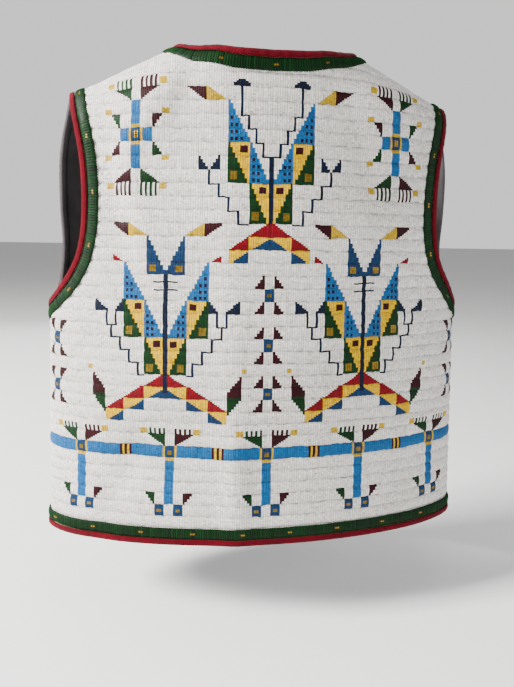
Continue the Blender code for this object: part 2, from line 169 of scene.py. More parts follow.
def baseSurface(across, up, face):
    # points on the crests of the lanes before folds
    start, depth, length = shoulderArc(across)
    total = length[:, -1]
    over = np.maximum(0.0, up - start)
    beyond = over > total
    travelled = np.where(beyond, 2 * total - over, over)
    index = np.clip((length[:, 1:] < travelled[:, None]).sum(axis=1), 0, len(arcAngle) - 2)
    row = np.arange(len(index))
    low = length[row, index]
    part = (travelled - low) / (length[row, index + 1] - low)
    straight = up <= start
    rise = arcRise[index] + part * (arcRise[index + 1] - arcRise[index])
    inward = arcDepth[index] + part * (arcDepth[index + 1] - arcDepth[index])
    height = np.where(straight, up, start + cut["shoulderRise"] * rise)
    distance = np.abs(across)
    x = np.sign(across) * np.interp(distance, ring[0], ring[1]) * flare(height)
    straightY = np.interp(distance, ring[0], ring[2]) * flare(height)
    y = np.where(straight, straightY, depth * inward * np.where(beyond, -1.0, 1.0))
    lower = np.clip((cut["chestUp"] - height) / cut["chestUp"], 0.0, 1.0)
    dip = cut["sideDip"] * (distance / cut["quarterRound"]) ** 2 * lower
    return np.stack([x, face * y, height - dip - cut["originUp"]], axis=1)


def foldHeight(across, up, face):
    total = np.zeros(len(across))
    for fold in folds:
        if fold["face"] == face:
            tilt = math.radians(fold["tilt"])
            toSide, toTop = across - fold["across"], up - fold["up"]
            along = toTop * math.cos(tilt) + toSide * math.sin(tilt)
            beside = toSide * math.cos(tilt) - toTop * math.sin(tilt)
            total -= fold["depth"] * np.exp(-(along / fold["length"]) ** 2 - (beside / fold["width"]) ** 2)
    return total * np.clip((cut["quarterRound"] - np.abs(across)) / foldFade, 0.0, 1.0)


def drape(across, up, height, face):
    # points on the vest at a height over the lanes' crests
    step = fineness["slope"]
    side = baseSurface(across + step, up, face) - baseSurface(across - step, up, face)
    rise = baseSurface(across, up + step, face) - baseSurface(across, up - step, face)
    normal = np.cross(side, rise) * -face
    normal /= np.linalg.norm(normal, axis=1)[:, None]
    return baseSurface(across, up, face) + normal * (height + foldHeight(across, up, face))[:, None]


def sideBySide(*columns):
    return np.stack(columns, axis=1)


def lengthsAlong(line):
    return np.concatenate([[0.0], np.cumsum(np.linalg.norm(np.diff(line, axis=0), axis=1))])


def evenPoints(line, step):
    travelled = lengthsAlong(line)
    wanted = np.linspace(0.0, travelled[-1], max(2, int(round(travelled[-1] / step)) + 1))
    return sideBySide(*(np.interp(wanted, travelled, line[:, i]) for i in (0, 1)))


def tableEdge(name, step):
    # a smooth curve through the table's points, ending just short of the seams
    points = []
    for across, up in zip(edgeTables[name]["across"], edgeTables[name]["up"]):
        top = float(seamUp(across)[0]) - cut["seamGap"] / 2
        points.append((min(across, cut["side"]), top if up is None else up))
    points = np.asarray(points)
    padded = np.vstack([2 * points[0] - points[1], points, 2 * points[-1] - points[-2]])
    fine = []
    for i in range(len(points) - 1):
        a, b, c, d = padded[i:i + 4]
        for t in np.linspace(0.0, 1.0, fineness["curve"], endpoint=False):
            fine.append((2 * b + (c - a) * t + (2 * a - 5 * b + 4 * c - d) * t ** 2
                         + (3 * b - a - 3 * c + d) * t ** 3) / 2)
    fine.append(points[-1])
    return evenPoints(np.asarray(fine), step)


def mirrored(line):
    return line[::-1] * np.array([-1.0, 1.0])


def joinLines(lines):
    joined = [lines[0]]
    for line in lines[1:]:
        same = np.linalg.norm(line[0] - joined[-1][-1]) < sameSpot
        joined.append(line[1:] if same else line)
    return np.vstack(joined)


def straightLine(first, last, step):
    return evenPoints(np.array([first, last], float), step)


def seamLine(inner, outer, step):
    across = np.linspace(outer, inner, max(3, int(abs(outer - inner) / step)))
    return sideBySide(across, seamUp(across) - cut["seamGap"] / 2)


def backEdges(step):
    # each edge has its line, whether the cloth lies to its left, and which way its
    # distance in from the edge runs along the seam at its first and last ends
    armhole, neck, side = tableEdge("backArmhole", step), tableEdge("backNeck", step), cut["side"]
    return {
        "hem": (straightLine((-side, 0), (side, 0), step), True, (1, 1)),
        "armhole_left": (armhole, True, (-1, -1)),
        "armhole_right": (mirrored(armhole), True, (1, -1)),
        "neck": (joinLines([neck[::-1], mirrored(neck[::-1])]), True, (1, -1)),
    }


def frontEdges(step):
    # hem, round corner, front edge and V neck of a left front run as one edge
    start = cut["frontEdge"] + cut["frontCorner"]
    cornerLength = cut["frontCorner"] * 1.6
    turns = np.radians(np.linspace(270.0, 180.0, max(7, int(cornerLength / step))))
    corner = sideBySide(start + cut["frontCorner"] * np.cos(turns),
                        cut["frontCorner"] + cut["frontCorner"] * np.sin(turns))
    neck = tableEdge("frontNeck", step)
    run = joinLines([straightLine((cut["side"], 0), (start, 0), step), corner,
                     straightLine(corner[-1], neck[0], step), neck])
    return {
        "edge": (evenPoints(run, step), False, (1, 1)),
        "armhole": (tableEdge("frontArmhole", step), True, (-1, -1)),
    }


def freeEdges(face, step):
    return backEdges(step) if face > 0 else frontEdges(step)


def outlineOf(face, step):
    # the whole cut of the back or of a left front, anticlockwise
    side = cut["side"]
    edges = freeEdges(face, step)
    if face > 0:
        armhole, neck = edges["armhole_left"][0], edges["neck"][0]
        shoulder = seamLine(neck[0][0], armhole[-1][0], step)
        up = straightLine((side, 0), armhole[0], step)
        lines = [edges["hem"][0], up, armhole, shoulder, neck, mirrored(shoulder),
                 edges["armhole_right"][0], mirrored(up)]
    else:
        run, armhole = edges["edge"][0], edges["armhole"][0]
        lines = [run[::-1], straightLine((side, 0), armhole[0], step), armhole,
                 seamLine(run[-1][0], armhole[-1][0], step)]
    outline = joinLines(lines)
    closed = np.linalg.norm(outline[0] - outline[-1]) < sameSpot
    return outline[:-1] if closed else outline


def insideOf(outline, across, up):
    inside = np.zeros(len(across), bool)
    for (x1, y1), (x2, y2) in zip(outline, np.roll(outline, -1, axis=0)):
        crosses = (y1 > up) != (y2 > up)
        if crosses.any():
            inside ^= crosses & (x1 + (up - y1) * (x2 - x1) / (y2 - y1) > across)
    return inside


def distanceTo(line, across, up):
    nearest = np.full(len(across), np.inf)
    for (x1, y1), (x2, y2) in zip(line[:-1], line[1:]):
        dx, dy = x2 - x1, y2 - y1
        t = np.clip(((across - x1) * dx + (up - y1) * dy) / (dx * dx + dy * dy), 0.0, 1.0)
        nearest = np.minimum(nearest, np.hypot(x1 + t * dx - across, y1 + t * dy - up))
    return nearest


# meshes

vestCollection = bpy.data.collections.new("beadedVest")
bpy.context.scene.collection.children.link(vestCollection)


def makePiece(name, points, faces, material, uvMaps, corners, replaced):
    # faces is an array of triangles; uvMaps and corners hold a row for each corner
    points, faces = np.asarray(points, np.float32), np.asarray(faces, np.int32)
    mesh = bpy.data.meshes.new(name)
    mesh.vertices.add(len(points))
    mesh.vertices.foreach_set("co", points.ravel())
    mesh.loops.add(faces.size)
    mesh.loops.foreach_set("vertex_index", faces.ravel())
    mesh.polygons.add(len(faces))
    mesh.polygons.foreach_set("loop_start", np.arange(0, faces.size, 3, dtype=np.int32))
    mesh.update(calc_edges=True)
    for label, rows in uvMaps.items():
        layer = mesh.uv_layers.new(name=label)
        layer.data.foreach_set("uv", np.asarray(rows, np.float32).ravel())
    for label, rows in corners.items():
        kind = "FLOAT_COLOR" if np.ndim(rows) == 2 else "FLOAT"
        field = "color" if kind == "FLOAT_COLOR" else "value"
        layer = mesh.attributes.new(label, kind, "CORNER")
        layer.data.foreach_set(field, np.asarray(rows, np.float32).ravel())
    mesh.validate()
    mesh.shade_smooth()
    mesh.materials.append(material)
    piece = bpy.data.objects.new(name, mesh)
    vestCollection.objects.link(piece)
    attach(piece, "root")
    if replaced:
        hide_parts(*replaced)
    return piece


def rimOf(faces):
    # pairs of points along the open border of triangles
    pairs = np.concatenate([faces[:, [0, 1]], faces[:, [1, 2]], faces[:, [2, 0]]]).astype(np.int64)
    width = int(faces.max()) + 1
    keys = pairs[:, 0] * width + pairs[:, 1]
    back = pairs[:, 1] * width + pairs[:, 0]
    return pairs[~np.isin(keys, back)]


# materials

class Shade:
    # a value in a material's nodes: sums on it add Math nodes
    def __init__(self, tree, socket=None):
        self.tree = tree
        self.socket = socket

    def make(self, kind, settings, sockets, out=0):
        # settings go on the node, then its sockets take values or links
        node = self.tree.nodes.new(kind)
        for name, value in settings.items():
            setattr(node, name, value)
        for name, value in sockets.items():
            if isinstance(value, Shade):
                self.tree.links.new(value.socket, node.inputs[name])
            else:
                node.inputs[name].default_value = value
        return Shade(self.tree, node.outputs[out])

    def math(self, operation, first, second=None, clamp=False):
        sockets = {0: first} if second is None else {0: first, 1: second}
        return self.make("ShaderNodeMath", {"operation": operation, "use_clamp": clamp}, sockets)

    def __add__(self, other):
        return self.math("ADD", self, other)

    def __radd__(self, other):
        return self.math("ADD", other, self)

    def __sub__(self, other):
        return self.math("SUBTRACT", self, other)

    def __rsub__(self, other):
        return self.math("SUBTRACT", other, self)

    def __mul__(self, other):
        return self.math("MULTIPLY", self, other)

    def __rmul__(self, other):
        return self.math("MULTIPLY", other, self)

    def __truediv__(self, other):
        return self.math("DIVIDE", self, other)

    def __pow__(self, other):
        return self.math("POWER", self, other)

    def __abs__(self):
        return self.math("ABSOLUTE", self)

    def fract(self):
        return self.math("FRACT", self)

    def most(self, other):
        return self.math("MAXIMUM", self, other)

    def clamped(self):
        return self.math("ADD", self, 0.0, clamp=True)

    def blend(self, first, second):
        # self is the mask between two colours
        sockets = {0: self, 6: (*first, 1), 7: (*second, 1)}
        return self.make("ShaderNodeMix", {"data_type": "RGBA"}, sockets, out=2)

    def spread(self, low, high, toLow=0.0, toHigh=1.0):
        return self.make("ShaderNodeMapRange", {}, {0: self, 1: low, 2: high, 3: toLow, 4: toHigh})

    def noise(self, scale, detail=3.0, roughness=0.5):
        place = self.make("ShaderNodeTexCoord", {}, {}, out="Object")
        return self.make("ShaderNodeTexNoise", {},
                         {"Vector": place, "Scale": scale, "Detail": detail, "Roughness": roughness})

    def axes(self, uvMap):
        uv = self.make("ShaderNodeUVMap", {"uv_map": uvMap}, {})
        return [self.make("ShaderNodeSeparateXYZ", {}, {0: uv}, out=i) for i in (0, 1)]


def startMaterial(name, colour, fixed):
    # fixed holds the numbers that are the same all over
    material = bpy.data.materials.new(name)
    material.use_nodes = True
    shader = material.node_tree.nodes["Principled BSDF"]
    shader.inputs["Base Color"].default_value = (*colour, 1.0)
    material.diffuse_color = (*colour, 1.0)
    for label, value in fixed.items():
        shader.inputs[label].default_value = value
    return material, shader, Shade(material.node_tree)


def feed(shader, shade, **links):
    names = {"colour": "Base Color", "roughness": "Roughness", "metallic": "Metallic", "normal": "Normal"}
    for name, value in links.items():
        shade.tree.links.new(value.socket, shader.inputs[names[name]])


def bumpOf(shade, height, strength, distance):
    return shade.make("ShaderNodeBump", {}, {"Height": height, "Strength": strength, "Distance": distance})


def linear(hexText):
    # a colour's six hex digits as linear light
    parts = [int(hexText[i:i + 2], 16) / 255 for i in (0, 2, 4)]
    return tuple(p / 12.92 if p <= 0.04045 else ((p + 0.055) / 1.055) ** 2.4 for p in parts)


# rowGap, stringGap and laneShade set how dark the painted shade is between strings, rows and lanes
glass = {
    "lane": {"base": "D9D5CE", "rowGap": 0.34, "stringGap": 0.62, "gapPower": 3.6, "laneShade": 0.72},
    "edging": {"base": "032E0B", "rowGap": 0.35, "stringGap": 0.97, "gapPower": 1.6, "laneShade": 0.0},
    "tone": 0.13, "roughness": 0.46, "speckle": 0.14, "brassRoughness": 0.30, "brassMetal": 0.85,
    "specular": 0.10, "coat": 0.02, "coatRoughness": 0.2, "bump": 0.8, "bumpDepth": 0.0004,
}


def beadMaterial(name, look):
    # each bead's own colour, with painted shade in the gaps between strings, rows and lanes
    fixed = {"Specular IOR Level": glass["specular"], "Coat Weight": glass["coat"],
             "Coat Roughness": glass["coatRoughness"]}
    material, shader, s = startMaterial(name, linear(look["base"]), fixed)
    across, down = s.axes("beadGrid")
    sideways = abs(across.fract() - 0.5) * 2
    lengthways = abs(down.fract() - 0.5) * 2
    stringGap, rowGap = sideways ** look["gapPower"], lengthways ** 5
    # painted shade in the gaps between strings and between rows
    paintedGapShade = (stringGap * look["stringGap"]).most(rowGap * look["rowGap"])
    if look["laneShade"]:
        # painted shade along the lines between lanes, stronger in some patches than in others
        toLane = abs((down / cut["beadsInLane"]).fract() - 0.5) * 2
        wearAndShadePatches = s.noise(90.0, 5.0, 0.7).spread(0.38, 0.62, 0.1, 1.0)
        paintedGapShade = paintedGapShade.most(toLane ** 6 * wearAndShadePatches * look["laneShade"])
    patches = s.noise(9.0).spread(0.3, 0.7, 1 - glass["tone"], 1 + glass["tone"] * 0.4)
    shadeOver = (1 - paintedGapShade) * patches
    grey = s.make("ShaderNodeCombineXYZ", {}, {0: shadeOver, 1: shadeOver, 2: shadeOver})
    beadColour = s.make("ShaderNodeAttribute", {"attribute_name": "beadColour"}, {}, out="Color")
    paint = s.make("ShaderNodeVectorMath", {"operation": "MULTIPLY"}, {0: beadColour, 1: grey})
    brass = s.make("ShaderNodeAttribute", {"attribute_name": "brass"}, {}, out="Fac")
    speckle = s.noise(900.0, 2.0)
    glassRough = glass["roughness"] + speckle * glass["speckle"]
    rough = glassRough * (1 - brass) + glass["brassRoughness"] * brass
    dome = 1 - stringGap * 0.8 - rowGap * 0.5 + speckle * 0.06
    feed(shader, s, colour=paint, metallic=brass * glass["brassMetal"], roughness=rough,
         normal=bumpOf(s, dome, glass["bump"], glass["bumpDepth"]))
    return material


clothLook = {
    "binding": {"deep": "2C010A", "bright": "640214", "threads": 1500.0, "fuzz": 0.05},
    "lining": {"deep": "353234", "bright": "535052", "threads": 1100.0, "fuzz": 0.0},
    "specular": 0.04, "fuzzRoughness": 0.5, "roughness": 0.72, "bump": 0.55, "bumpDepth": 0.0002,
}


def wovenMaterial(name, look):
    # plain weave from the cloth's own flat coordinates, worn a little lighter in places
    deep, bright = linear(look["deep"]), linear(look["bright"])
    fixed = {"Sheen Weight": look["fuzz"], "Sheen Roughness": clothLook["fuzzRoughness"],
             "Specular IOR Level": clothLook["specular"]}
    material, shader, s = startMaterial(name, bright, fixed)
    across, along = s.axes("flatCloth")
    warp = abs((across * look["threads"]).fract() - 0.5) * 2
    weft = abs((along * look["threads"]).fract() - 0.5) * 2
    over = s.math("FLOOR", across * look["threads"])
    other = s.math("FLOOR", along * look["threads"])
    checker = ((over + other) * 0.5).fract() * 2
    threads = (1 - warp ** 2) * checker + (1 - weft ** 2) * (1 - checker)
    wearAndShadePatches = s.noise(26.0, 5.0, 0.6).spread(0.3, 0.7)
    fibre = s.noise(700.0)
    mask = (wearAndShadePatches * 0.55 + threads * 0.3 + fibre * 0.25).clamped()
    feed(shader, s, colour=mask.blend(deep, bright), roughness=clothLook["roughness"] + fibre * 0.2,
         normal=bumpOf(s, threads + fibre * 0.5, clothLook["bump"], clothLook["bumpDepth"]))
    return material


hideLook = {
    "tan": "A98A63", "pale": "CDB48E", "specular": 0.2, "fuzz": 0.25, "roughness": 0.78,
    "bump": 0.4, "bumpDepth": 0.0003,
}


def hideMaterial():
    tan, pale = linear(hideLook["tan"]), linear(hideLook["pale"])
    fixed = {"Specular IOR Level": hideLook["specular"], "Sheen Weight": hideLook["fuzz"]}
    material, shader, s = startMaterial("smokedHide", tan, fixed)
    grain = s.noise(420.0, 5.0, 0.6)
    blotch = s.noise(14.0, 4.0)
    feed(shader, s, colour=(blotch * 0.6 + grain * 0.4).clamped().blend(tan, pale),
         roughness=hideLook["roughness"] + grain * 0.15,
         normal=bumpOf(s, grain, hideLook["bump"], hideLook["bumpDepth"]))
    return material


whiteBeads = beadMaterial("laneBeads", glass["lane"])
greenBeads = beadMaterial("edgingBeads", glass["edging"])
redCloth = wovenMaterial("redBinding", clothLook["binding"])
charcoalCloth = wovenMaterial("charcoalLining", clothLook["lining"])
hide = hideMaterial()
print("materials made")

# the bead chart: x counts strings from the centre line, y counts
# beads down from the top of lane 0, and a figure is set out from its own centre

paints = {
    "white": "E1DDD7", "sky": "17598F", "blue": "0D3054", "navy": "08142A", "maroon": "2C020B",
    "spot": "1C030A", "green": "042C0D", "yellow": "D6AA00", "cream": "B8961C", "red": "760213",
    "gold": "7A6222",
}
paintNames = list(paints)
paintColours = np.array([linear(paints[name]) for name in paintNames])
beads = cut["beadsInLane"]
topRow, bottomRow = cut["topLane"] * beads, cut["lanesUnderNeck"] * beads
hemRow = bottomRow - beads    # the lowest lane lies under the hem edging
band = 28 * beads             # top row of the blue band


class Chart:
    def __init__(self):
        self.cells = np.zeros((bottomRow - topRow, 2 * cut["columns"]), int)

    def block(self, centre, side, x0, x1, y0, y1, paint):
        a, b = sorted((centre + side * x0, centre + side * x1))
        a, b = max(a, -cut["columns"]), min(b, cut["columns"])
        if b > a:
            columns = slice(a + cut["columns"], b + cut["columns"])
            self.cells[y0 - topRow:y1 - topRow, columns] = paintNames.index(paint)

    def wedge(self, centre, side, tall, thin, base, tip, paint):
        # a stepped triangle, tall along one string and standing on the row of its base
        count, rows = abs(thin - tall), abs(tip - base)
        step = 1 if thin > tall else -1
        for i in range(count):
            high = max(1, math.ceil(rows * (1 - i / count) - 0.01))
            x = tall + step * i
            y = (base - high, base) if tip < base else (base, base + high)
            self.block(centre, side, x, x + step, *y, paint)

    def figure(self, centre, side, top, groups, own="white"):
        # shapes of one kind and paint, each with two strings and two rows under the top
        for kind, paint, *shapes in groups:
            draw = self.wedge if kind == "wedge" else self.block
            for x0, x1, y0, y1 in shapes:
                draw(centre, side, x0, x1, top + y0, top + y1, own if paint == "own" else paint)


def fingers(y0, y1):
    return ("block", "own", *((x, x + 1, y0, y1) for x in (2, 4, 6, 8)))


post = (
    ("block", "blue", (-2, 2, 0, 8)),
    ("block", "gold", (-1, 1, 3, 6)),
    ("block", "cream", (-2, 2, 8, 10)),
    ("block", "sky", (-2, 2, 10, 40)),
)
postSide = (
    ("wedge", "own", (2, 10, -8, 0), (6, 10, 32, 40)),
    fingers(-12, -8),
    ("block", "cream", (2, 3, 0, 8), (10, 13, -12, -8)),
    ("block", "blue", (2, 6, 40, 48)),
    ("block", "gold", (3, 5, 43, 45)),
)


def drawBand(chart, posts, stripes, leftPaint, rightPaint):
    # the blue band, its posts, each with two open hands and two feet, and its stripes
    chart.block(0, 1, -cut["columns"], cut["columns"], band, band + beads, "sky")
    for centre in posts:
        chart.figure(centre, 1, band, post)
        chart.figure(centre, 1, band, postSide, leftPaint)
        chart.figure(centre, -1, band, postSide, rightPaint)
    for centre in stripes:
        first = centre - 2 if centre > 0 else centre - 3
        for i, paint in enumerate(("maroon", "cream", "maroon", "cream", "maroon")):
            chart.block(0, 1, first + i, first + i + 1, band, band + beads, paint)


square = (("block", "blue", (-2, 2, 8, 16)), ("block", "gold", (-1, 1, 11, 13)))
standing, hanging = (beads, 0), (0, beads)    # base and tip of a chain's upper triangles


def drawChain(chart, centre, lanes, upper):
    # squares, each with a pair of small triangles over it and a pair under it
    for lane in lanes:
        for side in (1, -1):
            chart.wedge(centre, side, 2, 6, lane * beads + upper[0], lane * beads + upper[1], "maroon")
            chart.wedge(centre, side, 2, 6, (lane + 3) * beads, (lane + 2) * beads, "maroon")
        chart.figure(centre, 1, lane * beads, square)


wings = (                     # outer and inner: far and near strings, rows down, split, count of spots
    (18, 9, 0, 8, 8),
    (9, 1, 24, 7, 7),
)
wingSpots = ((1, 9), (1, 13), (1, 17), (1, 21), (3, 13), (3, 17), (3, 21), (5, 21))
wingRows = 3 * beads


def drawWings(chart, centre, side, top):
    # tall sky triangles with dark spots, each on a block split between green and yellow
    for far, near, down, split, spotCount in wings:
        tip, base = top + down, top + down + wingRows
        chart.wedge(centre, side, far, near, base, tip, "sky")
        for string, row in wingSpots[:spotCount]:
            x = far - 1 - string
            chart.block(centre, side, x, x + 1, tip + row, tip + row + 2, "spot")
        chart.figure(centre, side, base, (
            ("block", "yellow", (near, far, 0, 24)),
            ("wedge", "green", (far, near + 1, 24, 0)),
            ("block", "maroon", (far - split, far - split + 3, 2, 6)),
            ("block", "gold", (far - 4, far - 1, 17, 22)),
        ))


def drawStairs(chart, centre, side, first, foot):
    # a thin navy line that climbs outward, four strings and a lane at each step
    for i in range(4):
        x, y = first + 4 * i, foot - beads * i
        chart.block(centre, side, x, x + 1, y - beads, y, "navy")
        if i:
            chart.block(centre, side, x - 4, x + 1, y, y + 1, "navy")


def drawRoof(chart, centre, top, bounds):
    # red over yellow over blue, each lane set further out than the one above
    for side in (1, -1):
        for i, (inner, outer) in enumerate(zip(bounds, bounds[1:])):
            chart.figure(centre, side, top + i * beads, (
                ("wedge", "red", (inner, outer, 8, 0)),
                ("block", "yellow", (inner, outer, 8, 16)),
                ("wedge", "blue", (inner, outer - 2, 16, 9)),
            ))


topFigure = (
    ("wedge", "cream", (27, 19, 8, 0)),
    ("wedge", "maroon", (27, 35, 0, 8)),
    ("block", "navy", (11, 14, -4, -3), (10, 15, -3, -2), (9, 16, -2, 0), (12, 13, -1, 17), (9, 13, 16, 17),
     (9, 10, 16, 25), (6, 10, 24, 25), (6, 7, 24, 33), (3, 7, 32, 33), (3, 4, 32, 41), (0, 4, 40, 41)),
)
topFigureFoot = (
    ("block", "navy", (9, 14, 80, 81), (0, 1, 40, 80)),
    ("wedge", "navy", (21, 25, 48, 40), (30, 26, 48, 40)),
)


def drawTopFigure(chart):
    for side in (1, -1):
        chart.figure(0, side, 0, topFigure)
        drawWings(chart, 0, side, 8)
        chart.figure(0, side, 0, topFigureFoot)
        drawStairs(chart, 0, side, 13, 80)
    drawRoof(chart, 0, 80, (0, 9, 17))


lowerFigureTop = 10 * beads
lowerFigure = (
    ("wedge", "cream", (16, 8, 8, 0)),
    ("wedge", "maroon", (16, 23, 0, 8)),
    ("wedge", "blue", (8, 0, 32, 8)),
    ("wedge", "red", (23, 19, 24, 20)),
    ("block", "gold", (4, 7, 26, 30)),
    ("block", "navy", (0, 5, 36, 37), (0, 5, 41, 42)),
)
lowerFigureFoot = (
    ("block", "navy", (9, 12, 96, 97), (21, 26, 64, 65), (21, 22, 56, 64), (25, 26, 56, 64)),
    ("wedge", "navy", (31, 25, 56, 48), (18, 22, 56, 48)),
    ("block", "cream", (32, 34, 91, 94)),
)


def drawLowerFigure(chart, centre):
    top = lowerFigureTop
    for side in (1, -1):
        chart.figure(centre, side, top, lowerFigure)
        drawWings(chart, centre, side, top + 24)
        chart.figure(centre, side, top, lowerFigureFoot)
        drawStairs(chart, centre, side, 11, top + 96)
        for i in range(6):    # a maroon corner over a green one
            x = 31 - i
            chart.block(centre, side, x, x + 1, top + 96 + 2 * i, top + 110, "maroon")
            chart.block(centre, side, x, x + 1, top + 110, top + 112 + 2 * i, "green")
    drawRoof(chart, centre, top + 96, (0, 9, 18, 26))
    chart.block(centre, 1, -1, 1, top + 32, top + 108, "navy")


cross = (
    ("block", "sky", (-2, 2, 8, 48), (-7, 7, 24, 32)),
    ("block", "cream", (-2, 2, 22, 24), (-2, 2, 32, 34), (-3, 3, 24, 32)),
    ("block", "blue", (-2, 2, 24, 32)),
    ("block", "gold", (-1, 1, 26, 30)),
)
crossOver = (
    ("wedge", "own", (2, 10, 0, 8), (7, 11, 16, 24)),
    fingers(-8, 0),
    ("block", "cream", (10, 13, -5, -1), (11, 14, 13, 16)),
)
crossUnder = (
    ("wedge", "own", (2, 10, 56, 48), (7, 11, 40, 32)),
    fingers(56, 64),
    ("block", "cream", (10, 13, 56, 60), (11, 14, 40, 43)),
)


def drawCross(chart, centre):
    # a four-armed cross with open hands over and under it
    chart.figure(centre, 1, 0, cross)
    for side in (1, -1):
        outward = side * centre > 0
        chart.figure(centre, side, 0, crossOver, "green" if outward else "maroon")
        chart.figure(centre, side, 0, crossUnder, "maroon" if outward else "green")


def drawBack():
    chart = Chart()
    drawBand(chart, (-81, -41, 0, 41, 81), (-60, -20, 20, 60), "green", "maroon")
    drawChain(chart, 0, (14, 18, 22), standing)
    for centre in (95, -95):
        drawChain(chart, centre, (18, 22), hanging)
    drawTopFigure(chart)
    for centre in (43, -42):
        drawLowerFigure(chart, centre)
    for centre in (56, -56):
        drawCross(chart, centre)
    return chart.cells


def drawFronts():
    # the band and its posts go on round the fronts, which are plain above them
    chart = Chart()
    drawBand(chart, (-90, -50, 50, 90), (-70, -30, 30, 70), "maroon", "green")
    for centre in (95, -95):
        drawChain(chart, centre, (18,), hanging)
    return chart.cells


# lanes of beads

laneLook = {
    "valley": 0.0014, "roundness": 2.2, "gapDrop": 0.00026, "beadRise": 0.00012, "underEdging": 0.0095,
    "footMargin": 0.0002, "skirt": -0.0023, "wander": 0.0005, "wanderSizes": (18.0, 47.0, 110.0),
    "calmSize": 30, "ragged": 0.45, "lean": 0.00022, "bulge": 0.00013, "shadeSpread": 0.10,
    "warmSpread": 0.012, "dullShare": 0.05, "dull": 0.72, "skirtShade": 0.7, "frontString": 2,
}
laneBake = {"across": 0.97, "down": 0.99, "skirt": 0.975, "skirtWide": 0.02}
borderCount = cut["lanesUnderNeck"] - cut["topLane"] + 1


def laneBorders(face):
    # how far the line between two lanes wanders at each string, from side to side
    chance = np.random.default_rng(seeds["borders"] + face)
    strings = np.arange(-cut["columns"], cut["columns"] + 1)
    borders = chance.normal(0, laneLook["ragged"], (borderCount, len(strings)))
    for border in borders:
        for size in laneLook["wanderSizes"]:
            wave = strings * cut["string"] * size * aboutOneTurn + chance.uniform(0, aboutOneTurn)
            border += np.sin(wave) / (1 + size / laneLook["calmSize"])
    return borders * laneLook["wander"]


def rowUp(row):
    # how far up the cut a row of the chart lies
    return cut["hemEdging"] + (hemRow - row) * cut["lane"] / beads


def laneDome(row):
    # how far down its lane a row lies, from 0 to 1, and its height there under the crest
    part = ((row - topRow) % beads) / beads
    return part, -laneLook["valley"] * np.abs(2 * part - 1) ** laneLook["roundness"]


def keptBeads(face, column, row):
    # beads inside the cut, as far as under the green edging
    across, up = column.ravel() * cut["string"], rowUp(row.ravel())
    if face < 0:
        across = np.abs(across)
    foot = up - cut["lane"] / beads / 2 + laneLook["footMargin"]
    keep = insideOf(outlineOf(face, fineness["outline"]), across, foot)
    for line, _, _ in freeEdges(face, fineness["outline"]).values():
        keep &= distanceTo(line, across, up) > laneLook["underEdging"]
    return keep.reshape(column.shape)


def laneCorners(face, column, row, chance):
    # the corners of the beads: borders between lanes wander, and strings lean a little
    first, last = column[0, 0], column[0, -1]
    borders = laneBorders(face)[:, first + cut["columns"]:last + cut["columns"] + 1]
    leans = chance.normal(0, laneLook["lean"], borders.shape)
    leans[:, [0, -1]] = 0.0
    part, height = laneDome(row)
    lane = (row - topRow) // beads
    after = np.minimum(lane + 1, borderCount - 1)
    index = np.arange(column.shape[1])[None, :]
    up = rowUp(row) + borders[lane, index] * (1 - part) + borders[after, index] * part
    across = column * cut["string"] + leans[lane, index] * (1 - part) + leans[after, index] * part
    across = np.clip(across, -cut["side"], cut["side"])
    if face < 0:
        openEdge = cut["frontEdge"] if first > 0 else -cut["frontEdge"]
        across = np.where(np.abs(across) < cut["frontEdge"], openEdge, across)
    up = np.minimum(up, (seamUp(across.ravel()) - cut["seamGap"] / 2).reshape(up.shape))
    return across, up, height - laneLook["gapDrop"]


def middleOf(grid):
    return (grid[:-1, :-1] + grid[1:, :-1] + grid[:-1, 1:] + grid[1:, 1:]) / 4


def beadTints(count, chance):
    # a few beads are dull, and each is a little warm or cool
    tint = chance.normal(1.0, laneLook["shadeSpread"], count)
    tint = np.where(chance.random(count) < laneLook["dullShare"], tint * laneLook["dull"], tint)
    warm = chance.normal(0, laneLook["warmSpread"], count)
    return sideBySide(tint + warm, tint, tint - warm)


